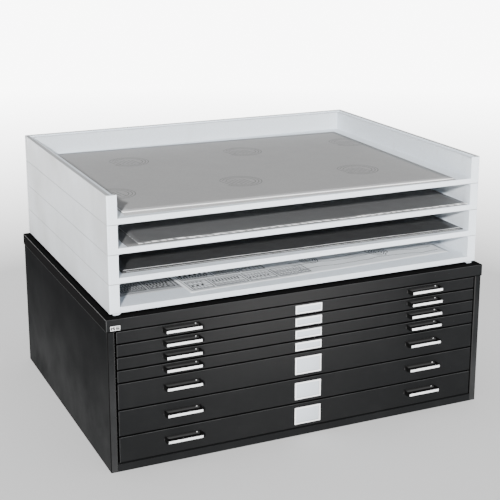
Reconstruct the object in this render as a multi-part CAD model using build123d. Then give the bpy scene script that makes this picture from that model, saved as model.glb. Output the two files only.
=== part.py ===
from build123d import *
import os

# Seven-drawer steel flat file cabinet for large drawings and prints, with a
# stack of four open moulded trays on its flat top and paper in each tray.
# Millimetres, +Z up, X to the right, the drawers open towards -Y.
# The origin is on the floor, under the middle of the whole object.

# ---------------------------------------------------------------- cabinet size
CABINET_WIDTH = 1178.0
CABINET_DEPTH = 898.5
CABINET_HEIGHT = 438.0
CASE_SHEET = 1.2
CAP_SKIRT = 34.0
CAP_CORNER_RADIUS = 3.0
CAP_EDGE_RADIUS = 1.5
FOLD_RADIUS = 2.0           # outside of the posts' folded edges
BODY_INSET = 2.5            # the case stands back from the cap's skirt
POST_WIDTH = 20.0
POST_DEPTH = 22.0
CASE_FLANGE = 20.0
BACK_FLANGE = 15.0
HEADER_GAP = 35.5           # top of the cap to the middle of the first gap
DRAWER_GAP = 4.2
SHALLOW_PITCH = 37.0
DEEP_PITCH = 77.0
PITCHES = [SHALLOW_PITCH] * 4 + [DEEP_PITCH] * 3
HEADER_RAIL_HEIGHT = 30.0

# ---------------------------------------------------------------- drawer sizes
FRONT_WIDTH = 1122.0
FRONT_THICKNESS = 15.0
FRONT_EDGE_RADIUS = 1.5
PAN_WIDTH = 1098.0
PAN_DEPTH = 830.0
PAN_SHEET = 1.0
PAN_LIFT = 5.0              # front's lower edge to the pan's underside
HOOD_DEPTH = 45.0

# ------------------------------------------------------- runners and rollers
RUNNER_DROP = 8.1           # front's upper edge to the runner channel's top
CHANNEL_HEIGHT = 22.4
CHANNEL_INNER_X = 556.0
CHANNEL_OUTER_X = 571.0
CHANNEL_FRONT_SETBACK = 26.0
CHANNEL_BACK_SETBACK = 25.0
UPRIGHT_WIDTH = 30.0
UPRIGHT_WALL = 1.5
UPRIGHT_SETBACKS = (60.0, -110.0)
SIDE_FLANGE_REACH = 13.0
SIDE_FLANGE_SHEET = 1.2
ROLLER_RADIUS = 8.0
ROLLER_BORE = 3.05
AXLE_RADIUS = 3.0
AXLE_COLLAR_RADIUS = 5.0
AXLE_HEAD_RADIUS = 4.5
ROLLER_INNER_X = 557.0
ROLLER_OUTER_X = 567.0
ROLLER_SETBACK = 16.0
ROLLING_CLEARANCE = 0.3
GLIDE_LENGTH = 30.0

# ------------------------------------------------------------ pulls and labels
PULL_SPACING = 762.0
PULL_LENGTH = 106.0
PULL_DEPTH = 30.0
PULL_HEIGHT = 12.0
PULL_LIP_HEIGHT = 9.5
PULL_END_WALL = 3.0
PULL_CORNER_RADIUS = 1.5
PULL_EDGE_RADIUS = 0.5
STRIP_LENGTH = 101.0
STRIP_HEIGHT = 7.4
STRIP_RISE = 0.2            # from the lower edge of the pull's front
STRIP_THICKNESS = 1.5
STRIP_EDGE_RADIUS = 0.6
PULL_DROP_SHALLOW = 4.2
PULL_DROP_DEEP = 20.7
LABEL_WIDTH = 83.0
LABEL_RIM = 4.8
LABEL_THICKNESS = 2.2
LABEL_EDGE_RADIUS = 0.5
LABEL_PLATE = 0.8
LABEL_SHIFT_X = 5.0         # the holders stand a little right of the middle
LABEL_HEIGHT_SHALLOW = 25.0
LABEL_HEIGHT_DEEP = 52.0
LABEL_DROP_SHALLOW = 3.0
LABEL_DROP_DEEP = 10.8
PLATE_WIDTH = 27.0
PLATE_HEIGHT = 12.5
PLATE_THICKNESS = 1.0

# ------------------------------------------------------------------ tray sizes
TRAY_WIDTH = 1149.4
TRAY_DEPTH = 863.6
TRAY_PITCH = 80.6
TRAY_SEAM = 0.5             # open line between the walls of two stacked trays
TRAY_COUNT = 4
TRAY_SKIN = 2.5
TRAY_WALL = 25.0
TRAY_LIP_WIDTH = 11.0
TRAY_LIP_HEIGHT = 6.0
TRAY_CORNER_RADIUS = 4.0
TRAY_EDGE_RADIUS = 1.0
TRAY_BAND = 16.0            # height of the front edge, level with the floor
TRAY_FLOOR = 2.8
TRAY_POST_WIDTH = 29.0
TRAY_POST_DEPTH = 30.0
TRAY_CORNER_BLOCK = 36.0    # solid corners under the floor, over the feet
TRAY_FOOT_WIDTH = 15.5
TRAY_FOOT_CHAMFER = 6.5
TRAY_FOOT_DEPTH = 18.0
TRAY_FOOT_CLEARANCE = 0.5
TRAY_FRONT_SETBACK = 26.0
TRAY_SHIFT_X = 4.5          # the stack stands a little right of the middle

# Paper and board in the trays, lowest tray first. Each sheet is its width,
# depth, thickness, the middle of its front edge from the tray's front middle
# (x, y), its height above the tray's floor and its turn in degrees.
TRAY_SHEETS = [
    [(900, 610, 0.8, -80, 82, 0.0, 0.6), (860, 600, 0.8, 96, 46, 0.8, 2.4)],
    [(1067, 762, 2.5, 7, 27, 0.0, -0.7)],
    [(1060, 762, 2.0, 10, 6, 0.0, 0.1), (1028, 745, 0.6, 28, 14, 2.0, -0.3)],
    [(1014, 777, 4.0, -12, 13, 0.0, -1.0)],
]

# ------------------------------------------------------------- derived places
PULL_REACH = PULL_DEPTH + STRIP_THICKNESS
TOTAL_DEPTH = CABINET_DEPTH + PULL_REACH - BODY_INSET
CAP_BACK = TOTAL_DEPTH / 2
CAP_FRONT = CAP_BACK - CABINET_DEPTH
BODY_FRONT = CAP_FRONT + BODY_INSET
BODY_BACK = CAP_BACK - BODY_INSET
BODY_OUTER_X = CABINET_WIDTH / 2 - BODY_INSET
BODY_INNER_X = BODY_OUTER_X - CASE_SHEET
POST_INNER_X = BODY_OUTER_X - POST_WIDTH
CAP_UNDERSIDE = CABINET_HEIGHT - CASE_SHEET
PAN_FRONT = BODY_FRONT + FRONT_THICKNESS
PAN_BACK = PAN_FRONT + PAN_DEPTH
PAN_SIDE_X = PAN_WIDTH / 2
CHANNEL_FRONT = BODY_FRONT + CHANNEL_FRONT_SETBACK
CHANNEL_BACK = BODY_BACK - CHANNEL_BACK_SETBACK
ROLLER_Y = PAN_BACK - ROLLER_SETBACK
TRAY_FRONT = CAP_FRONT + TRAY_FRONT_SETBACK
TRAY_BACK = TRAY_FRONT + TRAY_DEPTH
BOTTOM_RAIL_HEIGHT = CABINET_HEIGHT - HEADER_GAP - sum(PITCHES) - DRAWER_GAP / 2


# ------------------------------------------------------------------- helpers
def block(x, y, z):
    """A box given by its (low, high) pair along each axis."""
    sizes = [high - low for low, high in (x, y, z)]
    middles = [(low + high) / 2 for low, high in (x, y, z)]
    return Pos(*middles) * Box(*sizes)


def side_span(side, inner, outer):
    """The (low, high) pair in X of something between two distances from the middle."""
    return (inner, outer) if side > 0 else (-outer, -inner)


def x_cylinder(side, radius, inner, outer, y, z):
    """A cylinder along X between two distances from the middle."""
    low, high = side_span(side, inner, outer)
    return Pos((low + high) / 2, y, z) * Rot(0, 90, 0) * Cylinder(radius, high - low)


def edges_at(shape, **place):
    """The edges whose middle has the given x, y or z."""
    return [
        edge
        for edge in shape.edges()
        if all(abs(getattr(edge.center(), key.upper()) - value) < 0.01 for key, value in place.items())
    ]


def save(name, *solids):
    """Writes one sub-part, of one solid or of several alike, as its own file."""
    shape = solids[0] if len(solids) == 1 else Compound(children=list(solids))
    export_step(shape, f"parts/{name}.step")


def drawer_levels():
    """The (lower, upper) edge of each drawer's front, from the top drawer down."""
    levels = []
    upper_gap = CABINET_HEIGHT - HEADER_GAP
    for pitch in PITCHES:
        lower_gap = upper_gap - pitch
        levels.append((lower_gap + DRAWER_GAP / 2, upper_gap - DRAWER_GAP / 2))
        upper_gap = lower_gap
    return levels


def channel_floor(front_top):
    """Height of the inner lower face of a drawer's runner channels."""
    return front_top - RUNNER_DROP - CHANNEL_HEIGHT + CASE_SHEET


def roller_height(front_top):
    """Height of a drawer's rear axle."""
    return channel_floor(front_top) + ROLLING_CLEARANCE + ROLLER_RADIUS


def flange_underside(front_top):
    """Height of the face of a drawer's side flange that runs on the glides."""
    return roller_height(front_top) + ROLLER_RADIUS + 0.5


# --------------------------------------------------------------------- casing
def top_cap():
    """Flat top with a skirt all round that laps over the case."""
    half = CABINET_WIDTH / 2
    span = (CABINET_HEIGHT - CAP_SKIRT, CABINET_HEIGHT)
    cap = block((-half, half), (CAP_FRONT, CAP_BACK), span)
    cap = fillet(cap.edges().filter_by(Axis.Z), CAP_CORNER_RADIUS)
    cap = fillet(cap.faces().sort_by(Axis.Z)[-1].edges(), CAP_EDGE_RADIUS)
    hollow = block(
        (-half + CASE_SHEET, half - CASE_SHEET),
        (CAP_FRONT + CASE_SHEET, CAP_BACK - CASE_SHEET),
        (CABINET_HEIGHT - CAP_SKIRT - 1, CAP_UNDERSIDE),
    )
    return cap - hollow


def side_panel(side):
    """Side sheet folded round at the front into a post, with top and bottom flanges."""
    height = (0, CAP_UNDERSIDE)
    flange_x = side_span(side, BODY_OUTER_X - CASE_FLANGE, BODY_OUTER_X)
    flange_y = (BODY_FRONT + POST_DEPTH, BODY_BACK - BACK_FLANGE - CASE_SHEET)
    sheet = block(side_span(side, BODY_INNER_X, BODY_OUTER_X), (BODY_FRONT, BODY_BACK), height)
    post_face = block(
        side_span(side, POST_INNER_X, BODY_OUTER_X),
        (BODY_FRONT, BODY_FRONT + CASE_SHEET),
        height,
    )
    post_return = block(
        side_span(side, POST_INNER_X, POST_INNER_X + CASE_SHEET),
        (BODY_FRONT, BODY_FRONT + POST_DEPTH),
        height,
    )
    bottom_flange = block(flange_x, flange_y, (0, CASE_SHEET))
    top_flange = block(flange_x, flange_y, (CAP_UNDERSIDE - CASE_SHEET, CAP_UNDERSIDE))
    panel = sheet + post_face + post_return + bottom_flange + top_flange
    folds = [edges_at(panel, x=side * x, y=BODY_FRONT)[0] for x in (BODY_OUTER_X, POST_INNER_X)]
    return fillet(folds, FOLD_RADIUS)


def back_panel():
    """Back sheet, with a flange turned forwards on all four edges."""
    outer = block(
        (-BODY_INNER_X, BODY_INNER_X),
        (BODY_BACK - BACK_FLANGE, BODY_BACK),
        (0, CAP_UNDERSIDE),
    )
    hollow = block(
        (-BODY_INNER_X + CASE_SHEET, BODY_INNER_X - CASE_SHEET),
        (BODY_BACK - BACK_FLANGE - 1, BODY_BACK - CASE_SHEET),
        (CASE_SHEET, CAP_UNDERSIDE - CASE_SHEET),
    )
    return outer - hollow


def cross_rail(bottom, top):
    """Channel rail between the posts, open to the back."""
    outer = block((-POST_INNER_X, POST_INNER_X), (BODY_FRONT, BODY_FRONT + POST_DEPTH), (bottom, top))
    hollow = block(
        (-POST_INNER_X, POST_INNER_X),
        (BODY_FRONT + CASE_SHEET, BODY_FRONT + POST_DEPTH + 1),
        (bottom + CASE_SHEET, top - CASE_SHEET),
    )
    return outer - hollow


def runner_rack(side, levels):
    """Seven runner channels welded to two hollow uprights."""
    rack = None
    for setback in UPRIGHT_SETBACKS:
        start = (BODY_FRONT if setback > 0 else BODY_BACK) + setback
        outer_x = side_span(side, CHANNEL_OUTER_X, BODY_INNER_X)
        inner_x = side_span(side, CHANNEL_OUTER_X + UPRIGHT_WALL, BODY_INNER_X - UPRIGHT_WALL)
        height = (CASE_SHEET, CAP_UNDERSIDE - CASE_SHEET)
        upright = block(outer_x, (start, start + UPRIGHT_WIDTH), height)
        upright -= block(inner_x, (start + UPRIGHT_WALL, start + UPRIGHT_WIDTH - UPRIGHT_WALL), height)
        rack = upright if rack is None else rack + upright
    for _, front_top in levels:
        low = channel_floor(front_top) - CASE_SHEET
        span_y = (CHANNEL_FRONT, CHANNEL_BACK)
        channel = block(side_span(side, CHANNEL_INNER_X, CHANNEL_OUTER_X), span_y, (low, low + CHANNEL_HEIGHT))
        channel -= block(
            side_span(side, CHANNEL_INNER_X - 1, CHANNEL_OUTER_X - CASE_SHEET),
            span_y,
            (low + CASE_SHEET, low + CHANNEL_HEIGHT - CASE_SHEET),
        )
        rack += channel
    return rack


def front_glide(side, front_top):
    """Nylon block in the mouth of a channel, that a drawer's side flange slides on."""
    glide = block(
        side_span(side, ROLLER_INNER_X, CHANNEL_OUTER_X - CASE_SHEET),
        (CHANNEL_FRONT + 4, CHANNEL_FRONT + 4 + GLIDE_LENGTH),
        (channel_floor(front_top), flange_underside(front_top) - ROLLING_CLEARANCE),
    )
    return fillet(glide.faces().sort_by(Axis.Z)[-1].edges().filter_by(Axis.X), 3)


def name_plate():
    """Small blank plate at the left of the skirt."""
    left = -CABINET_WIDTH / 2 + 11
    top = CABINET_HEIGHT - 18
    return block(
        (left, left + PLATE_WIDTH),
        (CAP_FRONT - PLATE_THICKNESS, CAP_FRONT),
        (top - PLATE_HEIGHT, top),
    )


# -------------------------------------------------------------------- drawers
def drawer_pan(front_bottom, front_top):
    """Folded tray with side flanges, a rear hood over the sheets' edge and two stub axles."""
    flange_low = flange_underside(front_top)
    flange_high = flange_low + SIDE_FLANGE_SHEET
    low = front_bottom + PAN_LIFT
    pan = block((-PAN_SIDE_X, PAN_SIDE_X), (PAN_FRONT, PAN_BACK), (low, flange_high))
    pan -= block(
        (-PAN_SIDE_X + PAN_SHEET, PAN_SIDE_X - PAN_SHEET),
        (PAN_FRONT + PAN_SHEET, PAN_BACK - PAN_SHEET),
        (low + PAN_SHEET, flange_high + 1),
    )
    pan += block(
        (-PAN_SIDE_X, PAN_SIDE_X),
        (PAN_BACK - HOOD_DEPTH, PAN_BACK),
        (flange_high - PAN_SHEET, flange_high),
    )
    axle_z = roller_height(front_top)
    for side in (-1, 1):
        pan += block(
            side_span(side, PAN_SIDE_X - PAN_SHEET, PAN_SIDE_X + SIDE_FLANGE_REACH),
            (PAN_FRONT, PAN_BACK),
            (flange_low, flange_high),
        )
        start = PAN_SIDE_X - PAN_SHEET / 2
        head = ROLLER_OUTER_X + 0.3
        pan += x_cylinder(side, AXLE_RADIUS, start, head + 1.2, ROLLER_Y, axle_z)
        pan += x_cylinder(side, AXLE_COLLAR_RADIUS, start, ROLLER_INNER_X - 0.3, ROLLER_Y, axle_z)
        pan += x_cylinder(side, AXLE_HEAD_RADIUS, head, head + 1.2, ROLLER_Y, axle_z)
    return pan


def drawer_rollers(front_top):
    """The two nylon rollers on a drawer's rear axles."""
    rollers = []
    for side in (-1, 1):
        z = roller_height(front_top)
        roller = x_cylinder(side, ROLLER_RADIUS, ROLLER_INNER_X, ROLLER_OUTER_X, ROLLER_Y, z)
        bore = x_cylinder(side, ROLLER_BORE, ROLLER_INNER_X - 1, ROLLER_OUTER_X + 1, ROLLER_Y, z)
        rollers.append(roller - bore)
    return rollers


def drawer_front(front_bottom, front_top):
    """Steel front, folded back round its edges and open behind."""
    half = FRONT_WIDTH / 2
    front = block((-half, half), (BODY_FRONT, PAN_FRONT), (front_bottom, front_top))
    front = fillet(front.faces().sort_by(Axis.Y)[0].edges(), FRONT_EDGE_RADIUS)
    hollow = block(
        (-half + CASE_SHEET, half - CASE_SHEET),
        (BODY_FRONT + CASE_SHEET, PAN_FRONT + 1),
        (front_bottom + CASE_SHEET, front_top - CASE_SHEET),
    )
    return front - hollow


def pull_places():
    """Middles in X of a drawer's two pulls."""
    return (-PULL_SPACING / 2, PULL_SPACING / 2)


def pull_body():
    """Black scoop pull, its back on the plane Y = 0 and its top on the plane Z = 0."""
    outline = Polyline(
        (0, 0),
        (-PULL_DEPTH, 0),
        (-PULL_DEPTH, -PULL_LIP_HEIGHT),
        (-0.75 * PULL_DEPTH, -PULL_HEIGHT),
        (0, -PULL_HEIGHT),
        close=True,
    )
    body = extrude(Plane.YZ * make_face(outline), amount=PULL_LENGTH / 2, both=True)
    body = fillet(edges_at(body, y=-PULL_DEPTH, z=-PULL_LIP_HEIGHT / 2), PULL_CORNER_RADIUS)
    back = -2.0
    lip = -PULL_DEPTH + 2.5
    scoop_outline = [
        Line((back, 1), (lip, 1)),
        Line((lip, 1), (lip, -5.5)),
        ThreePointArc((lip, -5.5), ((back + lip) / 2, -9.0), (back, -6.5)),
        Line((back, -6.5), (back, 1)),
    ]
    scoop = extrude(
        Plane.YZ * make_face(Curve() + scoop_outline),
        amount=PULL_LENGTH / 2 - PULL_END_WALL,
        both=True,
    )
    pull = body - scoop
    return fillet(pull.faces().sort_by(Axis.Z)[-1].edges(), PULL_EDGE_RADIUS)


def pull_strip():
    """Bright strip on the front of a pull, in the same place as pull_body()."""
    top = STRIP_HEIGHT + STRIP_RISE - PULL_LIP_HEIGHT
    strip = block(
        (-STRIP_LENGTH / 2, STRIP_LENGTH / 2),
        (-PULL_REACH, -PULL_DEPTH),
        (top - STRIP_HEIGHT, top),
    )
    return fillet(strip.faces().sort_by(Axis.Y)[0].edges(), STRIP_EDGE_RADIUS)


def label_holder(front_top, drop, height):
    """Framed label holder with a shallow window for a card."""
    top = front_top - drop
    left = LABEL_SHIFT_X - LABEL_WIDTH / 2
    right = LABEL_SHIFT_X + LABEL_WIDTH / 2
    holder = block((left, right), (BODY_FRONT - LABEL_THICKNESS, BODY_FRONT), (top - height, top))
    holder = fillet(holder.faces().sort_by(Axis.Y)[0].edges(), LABEL_EDGE_RADIUS)
    holder -= block(
        (left + LABEL_RIM, right - LABEL_RIM),
        (BODY_FRONT - LABEL_THICKNESS - 1, BODY_FRONT - LABEL_PLATE),
        (top - height + LABEL_RIM, top - LABEL_RIM),
    )
    return holder


# ---------------------------------------------------------------------- trays
def tray():
    """Moulded tray, open in front, with hollow walls. Its walls start at Z = 0 and
    its four feet reach below that, into the tray or onto the top underneath."""
    left = TRAY_SHIFT_X - TRAY_WIDTH / 2
    right = TRAY_SHIFT_X + TRAY_WIDTH / 2
    rim = TRAY_PITCH - TRAY_SEAM
    ledge = TRAY_PITCH - TRAY_LIP_HEIGHT
    shell = block((left, right), (TRAY_FRONT, TRAY_BACK), (0, rim))
    shell = fillet(shell.edges().filter_by(Axis.Z), TRAY_CORNER_RADIUS)
    for end in (0, -1):
        shell = fillet(shell.faces().sort_by(Axis.Z)[end].edges(), TRAY_EDGE_RADIUS)
    # the space over the floor, open to the front between the posts
    shell -= block(
        (left + TRAY_WALL, right - TRAY_WALL),
        (TRAY_FRONT + TRAY_POST_DEPTH, TRAY_BACK - TRAY_WALL),
        (TRAY_BAND, rim + 1),
    )
    shell -= block(
        (left + TRAY_POST_WIDTH, right - TRAY_POST_WIDTH),
        (TRAY_FRONT - 1, TRAY_FRONT + TRAY_POST_DEPTH + 1),
        (TRAY_BAND, rim + 1),
    )
    # the ledge inside the lip
    shell -= block(
        (left + TRAY_LIP_WIDTH, right - TRAY_LIP_WIDTH),
        (TRAY_FRONT + TRAY_SKIN, TRAY_BACK - TRAY_LIP_WIDTH),
        (ledge, rim + 1),
    )
    # the space under the floor
    shell -= block(
        (left + TRAY_WALL, right - TRAY_WALL),
        (TRAY_FRONT + TRAY_POST_DEPTH, TRAY_BACK - TRAY_POST_DEPTH),
        (-1, TRAY_BAND - TRAY_FLOOR),
    )
    shell -= block(
        (left + TRAY_CORNER_BLOCK, right - TRAY_CORNER_BLOCK),
        (TRAY_FRONT + TRAY_SKIN, TRAY_BACK - TRAY_WALL),
        (-1, TRAY_BAND - TRAY_FLOOR),
    )
    # the hollows in the walls, open below
    for side in (-1, 1):
        outer = TRAY_WIDTH / 2 - TRAY_SKIN
        inner = TRAY_WIDTH / 2 - TRAY_WALL + TRAY_SKIN
        low, high = side_span(side, inner, outer)
        shell -= block(
            (TRAY_SHIFT_X + low, TRAY_SHIFT_X + high),
            (TRAY_FRONT + TRAY_POST_DEPTH, TRAY_BACK - TRAY_POST_DEPTH),
            (-1, ledge - TRAY_SKIN),
        )
    shell -= block(
        (left + TRAY_CORNER_BLOCK, right - TRAY_CORNER_BLOCK),
        (TRAY_BACK - TRAY_WALL + TRAY_SKIN, TRAY_BACK - TRAY_SKIN),
        (-1, ledge - TRAY_SKIN),
    )
    # rounded front edges of the floor and of the posts
    rounded = edges_at(shell, y=TRAY_FRONT, z=TRAY_BAND)
    rounded += edges_at(shell, x=left + TRAY_POST_WIDTH, y=TRAY_FRONT)
    rounded += edges_at(shell, x=right - TRAY_POST_WIDTH, y=TRAY_FRONT)
    shell = fillet(rounded, TRAY_EDGE_RADIUS)
    # four feet, chamfered on the inside, that stand on the ledge of the tray below
    outer = TRAY_WIDTH / 2 - TRAY_LIP_WIDTH - TRAY_FOOT_CLEARANCE
    inner = outer - TRAY_FOOT_WIDTH
    front = TRAY_FRONT + TRAY_SKIN + TRAY_FOOT_CLEARANCE
    back = TRAY_BACK - TRAY_LIP_WIDTH - TRAY_FOOT_CLEARANCE
    for side in (-1, 1):
        outline = Polyline(
            (TRAY_SHIFT_X + side * outer, 0),
            (TRAY_SHIFT_X + side * outer, -TRAY_LIP_HEIGHT),
            (TRAY_SHIFT_X + side * inner, -TRAY_LIP_HEIGHT),
            (TRAY_SHIFT_X + side * (inner - TRAY_FOOT_CHAMFER), 0),
            close=True,
        )
        for start in (front, back - TRAY_FOOT_DEPTH):
            foot = extrude(Plane.XZ * make_face(outline), amount=-TRAY_FOOT_DEPTH)
            shell += Pos(0, start, 0) * foot
    return shell


def sheets(level, layers):
    """The flat sheets that lie in one tray."""
    floor = tray_base(level) + TRAY_BAND
    made = []
    for width, depth, thickness, x, y, lift, turn in layers:
        flat = Pos(0, depth / 2, thickness / 2) * Box(width, depth, thickness)
        made.append(Pos(TRAY_SHIFT_X + x, TRAY_FRONT + y, floor + lift) * Rot(0, 0, turn) * flat)
    return made


def tray_base(level):
    """Height of the wall's lower edge of a tray, counted from 0 at the lowest."""
    return CABINET_HEIGHT + TRAY_LIP_HEIGHT + level * TRAY_PITCH


# ----------------------------------------------------------------------- make
os.makedirs("parts", exist_ok=True)
levels = drawer_levels()

save("top_cap", top_cap())
save("side_panel_left", side_panel(-1))
save("side_panel_right", side_panel(1))
save("back_panel", back_panel())
save("header_rail", cross_rail(CAP_UNDERSIDE - HEADER_RAIL_HEIGHT, CAP_UNDERSIDE))
save("bottom_rail", cross_rail(0, BOTTOM_RAIL_HEIGHT))
save("runner_rack_left", runner_rack(-1, levels))
save("runner_rack_right", runner_rack(1, levels))
save("front_glides", *[front_glide(side, top) for _, top in levels for side in (-1, 1)])
save("name_plate", name_plate())

pull = pull_body()
strip = pull_strip()
for number, (bottom, top) in enumerate(levels, start=1):
    deep = PITCHES[number - 1] == DEEP_PITCH
    pull_top = top - (PULL_DROP_DEEP if deep else PULL_DROP_SHALLOW)
    label_drop = LABEL_DROP_DEEP if deep else LABEL_DROP_SHALLOW
    label_height = LABEL_HEIGHT_DEEP if deep else LABEL_HEIGHT_SHALLOW
    save(f"drawer_{number}_pan", drawer_pan(bottom, top))
    save(f"drawer_{number}_front", drawer_front(bottom, top))
    save(f"drawer_{number}_pulls", *[Pos(x, BODY_FRONT, pull_top) * pull for x in pull_places()])
    save(f"drawer_{number}_pull_strips", *[Pos(x, BODY_FRONT, pull_top) * strip for x in pull_places()])
    save(f"drawer_{number}_label_holder", label_holder(top, label_drop, label_height))
    save(f"drawer_{number}_rollers", *drawer_rollers(top))

tray_shape = tray()
for level in range(TRAY_COUNT):
    save(f"tray_{level + 1}", Pos(0, 0, tray_base(level)) * tray_shape)
    save(f"tray_{level + 1}_sheets", *sheets(level, TRAY_SHEETS[level]))
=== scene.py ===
import math
import random

import bmesh
import bpy
from mathutils import Matrix, Vector, noise


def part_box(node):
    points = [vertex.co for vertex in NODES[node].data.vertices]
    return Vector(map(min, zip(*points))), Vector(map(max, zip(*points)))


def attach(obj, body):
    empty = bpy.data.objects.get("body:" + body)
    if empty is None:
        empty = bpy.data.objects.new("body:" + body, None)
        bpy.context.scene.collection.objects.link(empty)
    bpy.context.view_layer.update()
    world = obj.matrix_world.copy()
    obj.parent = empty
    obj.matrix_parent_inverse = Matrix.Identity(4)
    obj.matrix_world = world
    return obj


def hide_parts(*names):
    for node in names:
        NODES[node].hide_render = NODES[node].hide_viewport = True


# The looks of a black steel flat file cabinet with a stack of white moulded trays.
# Metres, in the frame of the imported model: X to the right, the drawers open towards -Y.

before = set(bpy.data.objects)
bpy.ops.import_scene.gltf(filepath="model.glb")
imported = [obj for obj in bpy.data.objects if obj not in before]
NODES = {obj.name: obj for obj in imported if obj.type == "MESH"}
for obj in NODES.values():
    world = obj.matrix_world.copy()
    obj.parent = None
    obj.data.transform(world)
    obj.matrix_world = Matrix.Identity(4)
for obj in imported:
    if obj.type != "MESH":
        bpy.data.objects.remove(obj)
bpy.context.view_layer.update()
DRAWERS = range(1, 8)
TRAYS = range(1, 5)
MM = 0.001

# Camera: from the left in front, a little above, with a long lens.
CAMERA_PLACE = (-1.4272, -3.2043, 1.5062)
CAMERA_YAW = 0.42385
CAMERA_PITCH = -0.25337
CAMERA_LENS = 84.26
CAMERA_SHIFT = (0.0, -0.1)

# Light. The key's direction is the way that its light travels. The sky has one strength near the
# horizon and another overhead. The floor glows more from the first distance to the second.
KEY_DIRECTION = (0.453, 0.817, -0.358)
KEY_STRENGTH = 7.0
KEY_ANGLE = math.radians(3)
SKY_OVERHEAD = 0.7
SKY_HORIZON = 0.18
FLOOR_REACH = (1.5, 6.0)
FLOOR_GLOW = (0.0, 7.5)
FLOOR_SIZE = 40.0

# Sizes of the small pieces that only the looks have.
LABEL_RIM = 4.8 * MM
LABEL_RECESS = 1.4 * MM
CARD_THICKNESS = 0.4 * MM
CARD_CLEARANCE = 0.1 * MM
CARD_BACK_CLEARANCE = 0.02 * MM
CARD_SHORT_AT_RIGHT = 0.63 * MM
CARD_EDGE_RADIUS = 0.08 * MM
PULL_LENGTH = 106 * MM
PULL_BACK_PLATE = 2 * MM
SCREW_FROM_END = 10 * MM
SCREW_DROP = 3.4 * MM
SCREW_RADIUS = 2.2 * MM
SCREW_HEIGHT = 1.1 * MM
# Radius and height of a head's rings, as shares of the head's.
SCREW_PROFILE = [(1.0, 0.0), (1.0, 0.25), (0.86, 0.62), (0.6, 0.9), (0.3, 1.0)]
SCREW_FACETS = 24

# The boards and films in the trays. Places on a board are from its front left corner. Each row of
# rings has its place back from the front, and its first ring's place across.
LOWER_BOARD = 1.2 * MM
UPPER_BOARD = 2.9 * MM
UPPER_BOARD_LEFT = 3 * MM
UPPER_BOARD_RIGHT = 4 * MM
UPPER_BOARD_FRONT = 6 * MM
UPPER_BOARD_BACK = 4 * MM
UPPER_BOARD_SLANT = 19 * MM
RING_RADIUS = 0.062
RING_EDGE_MARGIN = 1.5 * MM
RING_ROWS = ((0.218, 0.035), (0.592, 0.198))
RING_PITCH = 0.385
RING_LINE = 2.2 * MM
BOARD_STEPS = (40, 30)
FINE_STEPS = (60, 44)
FILM_THICKNESS = 0.3 * MM

# The drawings in the lowest tray.
DRAWING_THICKNESS = 0.3 * MM
INK_RISE = 0.42 * MM
# Place and radius of each set of rings on the right-hand drawing.
CONTOUR_RINGS = [(0.43, 0.12, 0.028), (0.55, 0.2, 0.035), (0.66, 0.1, 0.03), (0.76, 0.24, 0.034)]

# Places on the CAD pieces that the materials follow.
FACE_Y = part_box("drawer_1_front")[0].y
OUTER_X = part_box("side_panel_right")[1].x
INNER_X = OUTER_X - 0.7 * MM
POST_X = OUTER_X - 20 * MM
CAP_BOTTOM_Z, CAP_TOP_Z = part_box("top_cap")[0].z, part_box("top_cap")[1].z
TRAY_BASE_Z = CAP_TOP_Z + 6 * MM
TRAY_PITCH = 80.6 * MM
TRAY_LEFT_X, TRAY_RIGHT_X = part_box("tray_4")[0].x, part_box("tray_4")[1].x


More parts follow.
